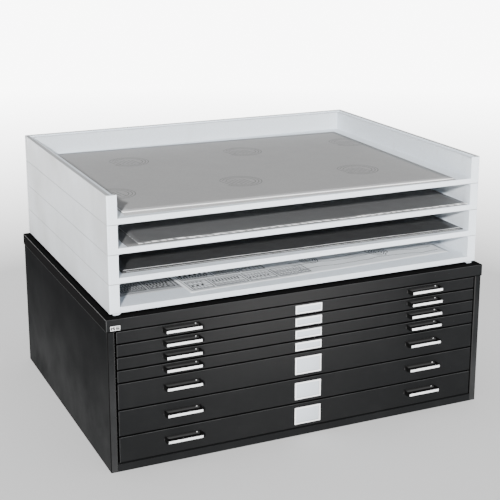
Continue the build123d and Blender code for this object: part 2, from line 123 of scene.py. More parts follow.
# ---------------------------------------------------------------- material kit
class Look:
    """A procedural material on one Principled shader, in the model's own coordinates."""

    def __init__(self, name, **constants):
        self.material = bpy.data.materials.new(name)
        self.material.use_nodes = True
        self.tree = self.material.node_tree
        self.shader = self.tree.nodes["Principled BSDF"]
        for socket, value in constants.items():
            self.shader.inputs[socket.replace("_", " ")].default_value = value
        self.place = self.node("ShaderNodeTexCoord").outputs["Object"]

    def node(self, kind, inputs=None, **settings):
        """Adds a node. An input is a value, or another node's output."""
        made = self.tree.nodes.new(kind)
        for key, value in settings.items():
            setattr(made, key, value)
        for key, value in (inputs or {}).items():
            self.feed(made.inputs[key], value)
        return made

    def feed(self, socket, value):
        if isinstance(value, bpy.types.NodeSocket):
            self.tree.links.new(value, socket)
        else:
            socket.default_value = value

    def stretched(self, stretch):
        """The model's coordinates, multiplied along each axis."""
        if stretch is None:
            return self.place
        inputs = {0: self.place, 1: stretch}
        return self.node("ShaderNodeVectorMath", inputs, operation="MULTIPLY").outputs[0]

    def noise(self, scale, detail=2.0, stretch=None, distortion=0.0):
        """Noise with about `scale` lumps to the metre, from 0 to 1."""
        inputs = {
            "Vector": self.stretched(stretch),
            "Scale": scale,
            "Detail": detail,
            "Distortion": distortion,
        }
        return self.node("ShaderNodeTexNoise", inputs).outputs["Fac"]

    def spots(self, scale, size):
        """Sparse round spots: 1 inside a spot, 0 elsewhere."""
        inputs = {"Vector": self.place, "Scale": scale}
        cells = self.node("ShaderNodeTexVoronoi", inputs, feature="F1").outputs["Distance"]
        return self.spread(cells, size, size * 0.6, 0.0, 1.0)

    def spread(self, value, low, high, to_low, to_high):
        """Maps low..high to to_low..to_high, and no further."""
        inputs = {
            "Value": value,
            "From Min": low,
            "From Max": high,
            "To Min": to_low,
            "To Max": to_high,
        }
        return self.node("ShaderNodeMapRange", inputs).outputs["Result"]

    def uneven(self, scale, detail, low, high):
        """A number that wanders between two values, for roughness or dirt."""
        return self.spread(self.noise(scale, detail), 0.3, 0.7, low, high)

    def math(self, operation, first, second=0.0):
        return self.node("ShaderNodeMath", {0: first, 1: second}, operation=operation).outputs[0]

    def times(self, first, second):
        return self.math("MULTIPLY", first, second)

    def below(self, axis, limit):
        """1 where the coordinate is less than the limit, 0 elsewhere."""
        return self.math("LESS_THAN", self.axis(axis), limit)

    def beyond(self, axis, limit):
        """1 where the coordinate is more than the limit, 0 elsewhere."""
        return self.math("GREATER_THAN", self.axis(axis), limit)

    def axis(self, name):
        """One of the model's coordinates, "X", "Y" or "Z"."""
        return self.node("ShaderNodeSeparateXYZ", {0: self.place}).outputs[name]

    def colors(self, factor, first, second):
        """From the first colour to the second as factor goes from 0 to 1."""
        made = self.node("ShaderNodeMix", data_type="RGBA")
        self.feed(made.inputs[0], factor)
        self.feed(made.inputs[6], first)
        self.feed(made.inputs[7], second)
        return made.outputs[2]

    def facing(self, directions, low, high):
        """1 where the surface faces one of these directions, 0 elsewhere."""
        normal = self.node("ShaderNodeTexCoord").outputs["Normal"]
        best = None
        for direction in directions:
            inputs = {0: normal, 1: tuple(Vector(direction).normalized())}
            made = self.node("ShaderNodeVectorMath", inputs, operation="DOT_PRODUCT")
            dot = made.outputs["Value"]
            best = dot if best is None else self.math("MAXIMUM", best, dot)
        return self.spread(best, low, high, 0.0, 1.0)

    def relief(self, height, distance, strength=1.0, below=None):
        """A bump of that height in metres, on top of another bump's normal."""
        inputs = {"Height": height, "Distance": distance, "Strength": strength}
        if below is not None:
            inputs["Normal"] = below
        return self.node("ShaderNodeBump", inputs).outputs["Normal"]

    def finish(self, **sockets):
        for socket, value in sockets.items():
            self.feed(self.shader.inputs[socket.replace("_", " ")], value)
        return self.material


def grey(value, tint=0.0):
    """A near-grey colour; a positive tint is cool."""
    return (value * (1 - tint), value, value * (1 + tint), 1.0)


# -------------------------------------------------------------------- materials
def enamel(name, dark, light, shaded_returns=False, cap=False, posts=False, sheen=False):
    """Black enamel on steel sheet: faint orange peel, dust, painted highlights on the rounded
    edges.
    Painted shade on the undersides, the folds behind the front face, the cap's top and the posts'
    corner folds. With the painted sheen, the middle of the front is paler, most of all high up."""
    look = Look(name, Specular_IOR_Level=0.0)
    cloud = look.noise(3.5, 4)
    dust = look.spread(look.noise(14, 6, distortion=0.4), 0.52, 0.78, 0.0, 0.3)
    base = look.colors(cloud, grey(dark, 0.03), grey(light, 0.03))
    base = look.colors(dust, base, grey(light * 1.4, 0.01))
    base = look.colors(look.times(look.spots(40, 0.03), 0.5), base, grey(0.1))
    if sheen:
        base = sheened(look, base, light)
    # Painted shade: faces that look down, or down and to the front, are near black.
    under = look.facing([(0, -1, -1), (0, 0, -1)], 0.8, 0.9)
    base = look.colors(under, base, grey(0.003))
    # Painted highlight: rounded edges that face the front and up, or the front and a side, are
    # paler, in patches.
    edge_highlight = look.facing([(0, -1, 1), (1, -1, 0), (-1, -1, 0)], 0.9, 0.97)
    highlight_patches = look.spread(look.noise(20, 3), 0.3, 0.6, 0.5, 1.0)
    base = look.colors(look.times(edge_highlight, highlight_patches), base, grey(0.055, 0.01))
    if posts:
        base = side_panel_painted_light(look, base)
    if shaded_returns:
        # Painted shade: faces more than 2.3 mm behind the front face, between the side panels, are
        # near black so the gaps read dark.
        behind = look.beyond("Y", FACE_Y + 2.3 * MM)
        inside = look.math("LESS_THAN", look.math("ABSOLUTE", look.axis("X")), INNER_X)
        base = look.colors(look.times(behind, inside), base, grey(0.003))
    if cap:
        base = cap_painted_light(look, base, dark)
    peel = look.relief(look.noise(420, 2), 0.00012, 0.4)
    normal = look.relief(look.noise(5, 1), 0.0008, 0.2, below=peel)
    return look.finish(Base_Color=base, Roughness=look.uneven(9, 5, 0.46, 0.56), Normal=normal)


def sheened(look, base, light):
    """Painted sheen: paler towards the middle of the front, most of all high up."""
    off = look.math("ABSOLUTE", look.math("ADD", look.axis("X"), 0.1))
    up = look.spread(look.axis("Z"), 0.16, 0.36, 0.25, 1.0)
    middle = look.times(look.spread(off, 0.08, 0.5, 1.0, 0.0), up)
    return look.colors(middle, base, grey(light * 1.7))


def side_panel_painted_light(look, base):
    """Painted reflection low down, and painted light and shade on the folds of the front posts."""
    across = look.math("ABSOLUTE", look.axis("X"))
    near = look.below("Y", FACE_Y + 5 * MM)
    # Painted reflection: the side is paler low down, in patches.
    low = look.spread(look.axis("Z"), 0.08, 0.36, 1.0, 0.0)
    base = look.colors(look.times(low, look.uneven(6, 5, 0.3, 1.0)), base, grey(0.042, 0.01))
    # Painted light: faces near the front that look to the sides are paler.
    post_side_light = look.times(near, look.facing([(1, 0, 0), (-1, 0, 0)], 0.9, 0.95))
    base = look.colors(post_side_light, base, grey(0.024))
    # Painted shade: the rounded corner where the side meets the front is near black.
    outermost = look.math("GREATER_THAN", across, OUTER_X - 4 * MM)
    corner = look.times(look.facing([(1, -1, 0), (-1, -1, 0)], 0.75, 0.85), outermost)
    base = look.colors(corner, base, grey(0.004))
    # Painted highlight: a paler strip along the inner edge of each post.
    post_edge_highlight = look.math("LESS_THAN", across, POST_X + 2.6 * MM)
    return look.colors(look.times(post_edge_highlight, near), base, grey(0.03))


def cap_painted_light(look, base, dark):
    """Painted shade low on the skirt, on the sides and on top; painted highlights on the edges."""
    # Painted shade: the lowest 2.2 mm of the skirt is near black, a dark line along the gap.
    base = look.colors(look.below("Z", CAP_BOTTOM_Z + 2.2 * MM), base, grey(0.002))
    # Painted shade: the sides of the cap are darker.
    sides = look.facing([(1, 0, 0), (-1, 0, 0)], 0.9, 0.95)
    base = look.colors(sides, base, grey(dark * 0.75))
    # Painted highlight: a paler line along the bottom of the skirt on the sides.
    hem = look.times(look.below("Z", CAP_BOTTOM_Z + 1.4 * MM), sides)
    base = look.colors(hem, base, grey(0.04))
    # Painted highlight: the rounded top edges of the sides are pale.
    edge_glint = look.facing([(-1, 0, 1), (1, 0, 1)], 0.88, 0.96)
    base = look.colors(edge_glint, base, grey(0.16))
    # Painted shade: the top of the cap, under the trays, is darker.
    return look.colors(look.beyond("Z", CAP_TOP_Z - 0.25 * MM), base, grey(0.006))


def tray_plastic():
    """White moulded polystyrene: fine grain, soft tone changes, dark specks, and painted shade on
    the side walls' outside faces and along the seams between stacked trays."""
    look = Look("tray_white_polystyrene", Specular_IOR_Level=0.12)
    base = look.colors(look.noise(2.6, 4), grey(0.73, 0.07), grey(0.78, 0.07))
    scuff = look.noise(30, 6, stretch=(1, 1, 0.25), distortion=0.8)
    base = look.colors(look.spread(scuff, 0.6, 0.8, 0.0, 0.4), base, grey(0.6, 0.03))
    fine = look.spread(look.noise(210, 3), 0.35, 0.7, 0.0, 0.32)
    base = look.colors(fine, base, grey(0.6, 0.03))
    base = look.colors(look.times(look.spots(15, 0.02), 0.75), base, grey(0.22))
    # Painted shade: the outside faces of the left and right walls are greyer, in patches.
    middle = (TRAY_LEFT_X + TRAY_RIGHT_X) / 2
    off = look.math("ABSOLUTE", look.math("SUBTRACT", look.axis("X"), middle))
    outer = look.math("GREATER_THAN", off, TRAY_RIGHT_X - middle - 0.6 * MM)
    base = look.colors(look.times(outer, look.uneven(5, 5, 0.6, 1.0)), base, grey(0.37, 0.02))
    # Painted shade: a grey line along the seams where the trays stack.
    above = look.math("SUBTRACT", look.axis("Z"), TRAY_BASE_Z)
    level = look.math("FLOORED_MODULO", above, TRAY_PITCH)
    low_edge = look.math("LESS_THAN", level, 0.8 * MM)
    high_edge = look.math("GREATER_THAN", level, TRAY_PITCH - 1.3 * MM)
    seam_shade = look.times(look.math("MAXIMUM", low_edge, high_edge), 0.85)
    base = look.colors(seam_shade, base, grey(0.36, 0.02))
    grain = look.relief(look.noise(700, 2), 0.00006, 0.5)
    normal = look.relief(look.noise(7, 1), 0.0010, 0.25, below=grain)
    return look.finish(Base_Color=base, Roughness=look.uneven(12, 4, 0.42, 0.54), Normal=normal)


def pull_black(number):
    """Black moulded pulls of one drawer, with a fine matte grain. Painted light: the scoop's back
    wall is paler low down."""
    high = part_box(f"drawer_{number}_pulls")[1]
    look = Look(f"pull_black_{number}", Specular_IOR_Level=0.06)
    base = look.colors(look.noise(60, 3), grey(0.004), grey(0.007))
    # Painted light: paler low on the scoop's back wall, fading to the base colour higher up.
    fade = look.spread(look.axis("Z"), high.z - 9 * MM, high.z - 2 * MM, 1.0, 0.15)
    scoop_light = look.times(look.beyond("Y", high.y - 5 * MM), fade)
    base = look.colors(scoop_light, base, grey(0.055))
    grain = look.relief(look.noise(900, 2), 0.00005, 0.4)
    return look.finish(Base_Color=base, Roughness=look.uneven(90, 3, 0.38, 0.5), Normal=grain)


def bright_plate(name, shade):
    """Bright plated strip with brush marks along its length and a few dull spots, with painted
    shade:
    dark on the sides that don't face the front."""
    look = Look(name, Metallic=0.1)
    brush = look.noise(160, 3, stretch=(0.05, 1, 8))
    base = look.colors(brush, grey(shade * 0.95, 0.005), grey(shade, 0.005))
    # Painted shade: faces that don't look to the front are near black, a dark outline.
    base = look.colors(look.facing([(0, -1, 0)], 0.5, 0.7), grey(0.03), base)
    dull = look.spread(look.noise(55, 5), 0.55, 0.8, 0.0, 0.12)
    rough = look.math("ADD", look.spread(brush, 0.3, 0.7, 0.28, 0.4), dull)
    scratches = look.relief(brush, 0.00004, 0.3)
    return look.finish(Base_Color=base, Roughness=rough, Normal=scratches)


def badge_plate():
    """Satin plate with a bright rim round a field of dark pressed marks, which spell nothing."""
    low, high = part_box("name_plate")
    look = Look("badge_plate", Metallic=0.2)
    sides = []
    for axis, name in enumerate("XYZ"):
        if name != "Y":
            off = look.math("SUBTRACT", look.axis(name), (low[axis] + high[axis]) / 2)
            reach = (high[axis] - low[axis]) / 2 - 1.6 * MM
            sides.append(look.math("LESS_THAN", look.math("ABSOLUTE", off), reach))
    field = look.times(*sides)
    marks = look.spread(look.noise(240, 1, stretch=(1.2, 1, 0.8)), 0.42, 0.46, 0.0, 1.0)
    base = look.colors(look.times(field, marks), grey(0.8), grey(0.03))
    return look.finish(Base_Color=base, Roughness=look.uneven(300, 3, 0.35, 0.5))


def plated_steel():
    """Dull zinc plate with a faint spangle."""
    look = Look("zinc_plated_steel", Metallic=0.9)
    inputs = {"Vector": look.place, "Scale": 160.0}
    spangle = look.node("ShaderNodeTexVoronoi", inputs, feature="F1").outputs["Color"]
    tone = look.node("ShaderNodeSeparateColor", {0: spangle}).outputs[0]
    base = look.colors(tone, grey(0.48, 0.01), grey(0.6, 0.01))
    relief = look.relief(look.noise(40, 3), 0.0002, 0.3)
    return look.finish(Base_Color=base, Roughness=look.uneven(25, 4, 0.36, 0.52), Normal=relief)


def nylon():
    """Natural nylon, slightly cloudy."""
    look = Look("natural_nylon", Specular_IOR_Level=0.4)
    base = look.colors(look.noise(70, 3), (0.62, 0.6, 0.54, 1), (0.72, 0.7, 0.64, 1))
    grain = look.relief(look.noise(500, 2), 0.00006, 0.4)
    return look.finish(Base_Color=base, Roughness=look.uneven(50, 3, 0.4, 0.55), Normal=grain)


def dark_nylon():
    """Black nylon, slightly cloudy."""
    look = Look("black_nylon", Specular_IOR_Level=0.2)
    base = look.colors(look.noise(70, 3), grey(0.008), grey(0.014))
    grain = look.relief(look.noise(500, 2), 0.00006, 0.4)
    return look.finish(Base_Color=base, Roughness=look.uneven(50, 3, 0.45, 0.6), Normal=grain)


def steel_screw():
    """Bright screw heads, slightly uneven."""
    look = Look("screw_steel", Metallic=0.3)
    base = look.colors(look.noise(900, 2), grey(0.4), grey(0.55))
    return look.finish(Base_Color=base, Roughness=look.uneven(400, 2, 0.3, 0.45))


def card_stock():
    """Pale card with paper fibres."""
    look = Look("label_card", Specular_IOR_Level=0.25)
    fibre = look.noise(380, 4, stretch=(1, 1, 0.35))
    base = look.colors(fibre, grey(0.6, 0.07), grey(0.66, 0.07))
    rough = look.spread(fibre, 0.3, 0.7, 0.78, 0.9)
    relief = look.relief(fibre, 0.00005, 0.5)
    return look.finish(Base_Color=base, Roughness=rough, Normal=relief)


def board(name, low, high, roughness, edge=None, top=None, shine=0.3):
    """Coated board. Its edges may have another colour than its top, which is at that height."""
    look = Look(name, Specular_IOR_Level=shine)
    mottle = look.noise(6, 4)
    base = look.colors(mottle, grey(low), grey(high))
    fibre = look.noise(260, 5)
    base = look.colors(look.spread(fibre, 0.35, 0.65, 0.0, 0.3), base, grey(high * 1.25))
    if edge is not None:
        base = look.colors(look.below("Z", top - 0.25 * MM), base, grey(edge))
    rough = look.uneven(18, 4, roughness - 0.05, roughness + 0.05)
    relief = look.relief(fibre, 0.00004, 0.4)
    return look.finish(Base_Color=base, Roughness=rough, Normal=relief)


def paper(name, shade):
    """White drawing paper with faint fibres and clouds."""
    look = Look(name, Specular_IOR_Level=0.1)
    fibre = look.noise(300, 4)
    base = look.colors(fibre, grey(shade * 0.94, 0.02), grey(shade, 0.02))
    cloud = look.spread(look.noise(9, 3), 0.5, 0.75, 0.0, 0.35)
    base = look.colors(cloud, base, grey(shade * 0.72))
    rough = look.spread(fibre, 0.3, 0.7, 0.6, 0.75)
    relief = look.relief(fibre, 0.00004, 0.4)
    return look.finish(Base_Color=base, Roughness=rough, Normal=relief)


def ink(name, low, high):
    """Printed line-work, denser in some places than in others."""
    look = Look(name, Specular_IOR_Level=0.1, Roughness=0.6)
    return look.finish(Base_Color=look.colors(look.noise(45, 3), grey(low), grey(high)))


def film(name, shade, dark, folds, low, high):
    """The crumpled edge of clear film: painted glints on slanting folds, darker between them."""
    look = Look(name, Specular_IOR_Level=0.8, Coat_Weight=0.5, Coat_Roughness=0.12)
    inputs = {
        "Vector": look.stretched((1, 1.3, 2)),
        "Scale": folds,
        "Distortion": 5.0,
        "Detail": 3.0,
    }
    wave = look.node("ShaderNodeTexWave", inputs, bands_direction="DIAGONAL").outputs["Fac"]
    crease = look.noise(90, 4, stretch=(0.5, 1, 3))
    streak = look.times(look.math("ADD", wave, crease), 0.5)
    # Painted reflection: bright streaks stand in for light glancing off the folds.
    lit = look.spread(streak, low, high, 0.0, 1.0)
    base = look.colors(lit, grey(shade * dark), grey(shade))
    rough = look.spread(streak, 0.3, 0.7, 0.34, 0.18)
    relief = look.relief(streak, 0.0006, 0.5)
    return look.finish(Base_Color=base, Roughness=rough, Normal=relief)


def pale_floor():
    """Plain pale studio floor, lit brighter away from the cabinet."""
    look = Look("studio_floor", Specular_IOR_Level=0.1, Roughness=0.9)
    base = look.colors(look.noise(1.5, 2), grey(0.78), grey(0.8))
    look.shader.inputs["Emission Color"].default_value = grey(1.0)
    far = look.node("ShaderNodeVectorMath", {0: look.place}, operation="LENGTH").outputs["Value"]
    glow = look.spread(far, *FLOOR_REACH, *FLOOR_GLOW)
    return look.finish(Base_Color=base, Emission_Strength=glow)


# ------------------------------------------------------------------- mesh kit
def piece(name, mesh, material, body, replaces=()):
    """Puts a finished mesh into the scene as a piece that rides on a CAD body."""
    data = bpy.data.meshes.new(name)
    mesh.to_mesh(data)
    mesh.free()
    data.materials.append(material)
    made = bpy.data.objects.new(name, data)
    bpy.context.scene.collection.objects.link(made)
    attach(made, body)
    if replaces:
        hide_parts(*replaces)
    return made


def smooth(mesh, degrees=35):
    """Smooth shading, with the sharp edges left sharp."""
    for face in mesh.faces:
        face.smooth = True
    for edge in mesh.edges:
        sharp = len(edge.link_faces) == 2 and edge.calc_face_angle(0) > math.radians(degrees)
        edge.smooth = not sharp


def add_block(mesh, low, high, radius, segments=2):
    """Adds a box between two corners, with rounded edges."""
    made = bmesh.ops.create_cube(mesh, size=1.0)["verts"]
    for vertex in made:
        vertex.co = Vector(low[i] + (vertex.co[i] + 0.5) * (high[i] - low[i]) for i in range(3))
    edges = list({edge for vertex in made for edge in vertex.link_edges})
    bmesh.ops.bevel(
        mesh, geom=edges, offset=radius, segments=segments, affect="EDGES", profile=0.5
    )


class Slab:
    """One flat slab of a CAD node: its four corners, from the front left anticlockwise seen from
    above, and the heights of its underside and its top."""

    def __init__(self, points):
        self.low = min(p.z for p in points)
        self.top = max(p.z for p in points)
        flat = [p for p in points if p.z > (self.low + self.top) / 2]
        self.corners = [
            min(flat, key=lambda p: p.x + p.y),
            min(flat, key=lambda p: p.y - p.x),
            max(flat, key=lambda p: p.x + p.y),
            max(flat, key=lambda p: p.y - p.x),
        ]
        self.width = (self.corners[1] - self.corners[0]).length
        self.depth = (self.corners[3] - self.corners[0]).length

    def at(self, x, y, height=0.0):
        """The point x to the right of the front left corner, y behind it, `height` over the top."""
        u, v = x / self.width, y / self.depth
        front = self.corners[0].lerp(self.corners[1], u)
        back = self.corners[3].lerp(self.corners[2], u)
        point = front.lerp(back, v)
        return Vector((point.x, point.y, self.top + height))


def slabs(node):
    """The slabs of a CAD node, lowest first."""
    mesh = bmesh.new()
    mesh.from_mesh(NODES[node].data)
    bmesh.ops.remove_doubles(mesh, verts=mesh.verts, dist=0.00001)
    left, found = set(mesh.verts), []
    while left:
        heap, part = [left.pop()], []
        while heap:
            vertex = heap.pop()
            part.append(vertex.co.copy())
            for edge in vertex.link_edges:
                other = edge.other_vert(vertex)
                if other in left:
                    left.remove(other)
                    heap.append(other)
        found.append(Slab(part))
    mesh.free()
    return sorted(found, key=lambda slab: slab.low)


def even(height):
    """A lift that is the same all over a leaf."""

    def lift(u, v):
        return height

    return lift


def add_leaf(mesh, slab, across, back, thickness, lift, steps=FINE_STEPS, slant=0.0):
    """Adds a leaf over part of a slab: `across` and `back` are its (low, high) places on the slab,
    its left end lies `slant` further back, and lift(u, v) is the height of its underside over the
    slab's."""
    rows = []
    for j in range(steps[1] + 1):
        row = []
        for i in range(steps[0] + 1):
            u, v = i / steps[0], j / steps[1]
            x = across[0] + (across[1] - across[0]) * u
            y = back[0] + (back[1] - back[0]) * v + slant * (1 - u)
            place = slab.at(x, y)
            place.z = slab.low + lift(u, v)
            above = place + Vector((0, 0, thickness))
            row.append((mesh.verts.new(place), mesh.verts.new(above)))
        rows.append(row)
    last_row, last = len(rows) - 1, len(rows[0]) - 1
    for j in range(last_row):
        for i in range(last):
            a, b, c, d = rows[j][i], rows[j][i + 1], rows[j + 1][i + 1], rows[j + 1][i]
            mesh.faces.new((d[0], c[0], b[0], a[0]))
            mesh.faces.new((a[1], b[1], c[1], d[1]))
    for i in range(last):
        for row, flip in ((rows[0], False), (rows[last_row], True)):
            add_rim_face(mesh, row[i], row[i + 1], flip)
    for j in range(last_row):
        for column, flip in ((0, True), (last, False)):
            add_rim_face(mesh, rows[j][column], rows[j + 1][column], flip)


def add_rim_face(mesh, a, b, flip):
    """Closes a leaf's rim between two neighbouring pairs of a lower and an upper vertex."""
    face = (a[0], b[0], b[1], a[1])
    mesh.faces.new(face[::-1] if flip else face)


def ripple(seed, height, scale=3.0):
    """A gentle waviness over a leaf, from 0 up to that height."""

    def lift(u, v):
        return height * (0.5 + 0.5 * noise.noise(Vector((u * scale, v * scale, seed))))

    return lift


def add_crumple(mesh, slab, line, seed, width, height, steps=260):
    """Adds a crumpled ribbon of film along a line on a slab, from one (x, y) place to another."""
    start, end = Vector(line[0]), Vector(line[1])
    along = (end - start).normalized()
    side = Vector((-along.y, along.x))
    rows = []
    for i in range(steps + 1):
        t = i / steps
        middle = start.lerp(end, t)
        wander = noise.noise(Vector((t * 9, seed, 0))) * width * 0.5
        tall = height * (0.55 + 0.45 * noise.noise(Vector((t * 34, seed, 3))))
        wide = width * (0.75 + 0.35 * noise.noise(Vector((t * 21, seed, 7))))
        row = []
        for k in range(7):
            angle = math.pi * k / 6
            off = -math.cos(angle) * wide / 2 + wander
            rise = math.sin(angle) * tall * (0.8 + 0.3 * noise.noise(Vector((t * 80, k, seed))))
            flat = middle + side * off
            row.append(mesh.verts.new(slab.at(flat.x, flat.y, max(rise, 0.0) + 0.05 * MM)))
        rows.append(row)
    for a, b in zip(rows, rows[1:]):
        for k in range(6):
            mesh.faces.new((a[k], b[k], b[k + 1], a[k + 1]))
        mesh.faces.new((a[0], a[6], b[6], b[0]))
    mesh.faces.new(rows[0])
    mesh.faces.new(rows[-1][::-1])


# --------------------------------------------------------------- small pieces
def label_card(number, material):
    """The card behind a drawer's label frame."""
    low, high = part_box(f"drawer_{number}_label_holder")
    rim = LABEL_RIM + CARD_CLEARANCE
    back = low.y + LABEL_RECESS
    front = (low.x + rim, back - CARD_THICKNESS, low.z + rim)
    rear = (high.x - rim - CARD_SHORT_AT_RIGHT, back - CARD_BACK_CLEARANCE, high.z - rim)
    mesh = bmesh.new()
    add_block(mesh, front, rear, CARD_EDGE_RADIUS)
    smooth(mesh)
    piece(f"drawer_{number}_label_card", mesh, material, f"drawer_{number}")


def add_screw(mesh, place, turn):
    """Adds a round screw head with a crossed recess, facing -Y."""
    spin = Matrix.Rotation(math.radians(90), 4, "X") @ Matrix.Rotation(turn, 4, "Z")
    around = SCREW_FACETS

    def ring(radius, height):
        """One ring of vertices; radius(k) and height(k) are shares of the head's."""
        made = []
        for k in range(around):
            angle = 2 * math.pi * k / around
            reach = radius(k) * SCREW_RADIUS
            x, y = math.cos(angle) * reach, math.sin(angle) * reach
            local = Vector((x, y, height(k) * SCREW_HEIGHT))
            made.append(mesh.verts.new(place + spin @ local))
        return made

    rings = []
    for radius, height in SCREW_PROFILE:
        rings.append(ring(lambda k: radius, lambda k: height))
    # The recess: every sixth point of the innermost ring is further out and pushed in.
    rings.append(ring(lambda k: 0.1 if k % 6 else 0.26, lambda k: 0.95 if k % 6 else 0.55))
    for a, b in zip(rings, rings[1:]):
        for k in range(around):
            mesh.faces.new((a[k], a[(k + 1) % around], b[(k + 1) % around], b[k]))
    deep = mesh.verts.new(place + spin @ Vector((0, 0, 0.4 * SCREW_HEIGHT)))
    for k in range(around):
        mesh.faces.new((rings[-1][k], rings[-1][(k + 1) % around], deep))
    mesh.faces.new(rings[0][::-1])


def pull_screws(number, material, chance):
    """The right-hand screw of each of a drawer's two pulls, inside the scoop."""
    low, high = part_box(f"drawer_{number}_pulls")
    mesh = bmesh.new()
    for left in (low.x, high.x - PULL_LENGTH):
        x = left + PULL_LENGTH - SCREW_FROM_END
        place = Vector((x, high.y - PULL_BACK_PLATE, high.z - SCREW_DROP))
        add_screw(mesh, place, chance.uniform(0, math.pi))
    smooth(mesh, 50)
    piece(f"drawer_{number}_pull_screws", mesh, material, f"drawer_{number}")


# ---------------------------------------------------------- what the trays hold
def top_boards():
    """Two grey boards in the top tray; the upper one has a white core and faint rings."""
    slab = slabs("tray_4_sheets")[0]
    top = slab.low + LOWER_BOARD + UPPER_BOARD
    upper = board("grey_board", 0.29, 0.315, 0.6, edge=0.92, top=top, shine=0.08)
    lower = board("grey_board_lower", 0.28, 0.31, 0.6, shine=0.08)
    mesh = bmesh.new()
    across, back = (0.0, slab.width), (0.0, slab.depth)
    add_leaf(mesh, slab, across, back, LOWER_BOARD - 0.1 * MM, even(0.0), (8, 6))
    smooth(mesh)
    piece("tray_4_lower_board", mesh, lower, "tray_4")
    mesh = bmesh.new()
    across = (UPPER_BOARD_LEFT, slab.width - UPPER_BOARD_RIGHT)
    back = (UPPER_BOARD_FRONT, slab.depth - UPPER_BOARD_BACK)
    lift = even(LOWER_BOARD)
    add_leaf(mesh, slab, across, back, UPPER_BOARD, lift, BOARD_STEPS, UPPER_BOARD_SLANT)
    smooth(mesh)
    piece("tray_4_upper_board", mesh, upper, "tray_4", replaces=["tray_4_sheets"])
    reach = (across[0] + RING_EDGE_MARGIN, across[1] - RING_EDGE_MARGIN)
    pen = Pen(slab, even(LOWER_BOARD + UPPER_BOARD - 0.35 * MM), reach=reach)
    for y, start in RING_ROWS:
        for column in range(3):
            pen.knot((start + column * RING_PITCH, y), RING_RADIUS)
    pen.done("tray_4_board_rings", ink("board_rings", 0.1, 0.19), "tray_4")


def middle_board(tray, slab, material, seed):
    """The board in one of the two middle trays, as thick as its slab."""
    thickness = slab.top - slab.low - 0.2 * MM
    mesh = bmesh.new()
    across, back = (0, slab.width), (0, slab.depth)
    add_leaf(mesh, slab, across, back, thickness, ripple(seed, 0.2 * MM), BOARD_STEPS)
    smooth(mesh)
    piece(f"{tray}_board", mesh, material, tray, replaces=[f"{tray}_sheets"])


def film_edge(tray, slab, material, ribbons):
    """Crumpled ribbons of film: each has its line, seed, width and height."""
    mesh = bmesh.new()
    for ribbon in ribbons:
        add_crumple(mesh, slab, *ribbon)
    smooth(mesh, 60)
    piece(f"{tray}_film_edge", mesh, material, tray)


def filmed_boards():
    """The boards in the two middle trays, with the crumpled edge of clear film over each."""
    dark = board("dark_grey_board", 0.11, 0.12, 0.5)
    black = board("near_black_board", 0.036, 0.042, 0.5)
    clear = film("clear_film", 0.8, 0.2, 26.0, 0.3, 0.5)
    thin_clear = film("thin_clear_film", 0.85, 0.3, 30.0, 0.1, 0.3)

    lower, upper = slabs("tray_3_sheets")
    middle_board("tray_3", lower, dark, 2)
    mesh = bmesh.new()
    across, back = (0, upper.width), (0, upper.depth)
    add_leaf(mesh, upper, across, back, FILM_THICKNESS, ripple(5, 0.3 * MM))
    smooth(mesh)
    piece("tray_3_film_sheet", mesh, dark, "tray_3")
    front = ((0, 0), (upper.width, 0))
    left = ((0.5 * MM, 3 * MM), (0.5 * MM, upper.depth * 0.6))
    film_edge("tray_3", upper, clear, [
        (front, 3.3, 15 * MM, 4 * MM),
        (left, 9.1, 1.6 * MM, 0.8 * MM),
    ])

    slab = slabs("tray_2_sheets")[0]
    middle_board("tray_2", slab, black, 7)
    behind = ((8 * MM, 17 * MM), (slab.width - 4 * MM, 15 * MM))
    front = ((12 * MM, 1 * MM), (slab.width - 10 * MM, 1 * MM))
    film_edge("tray_2", slab, thin_clear, [
        (behind, 5.7, 4 * MM, 1.3 * MM),
        (front, 1.7, 3 * MM, 0.6 * MM),
    ])


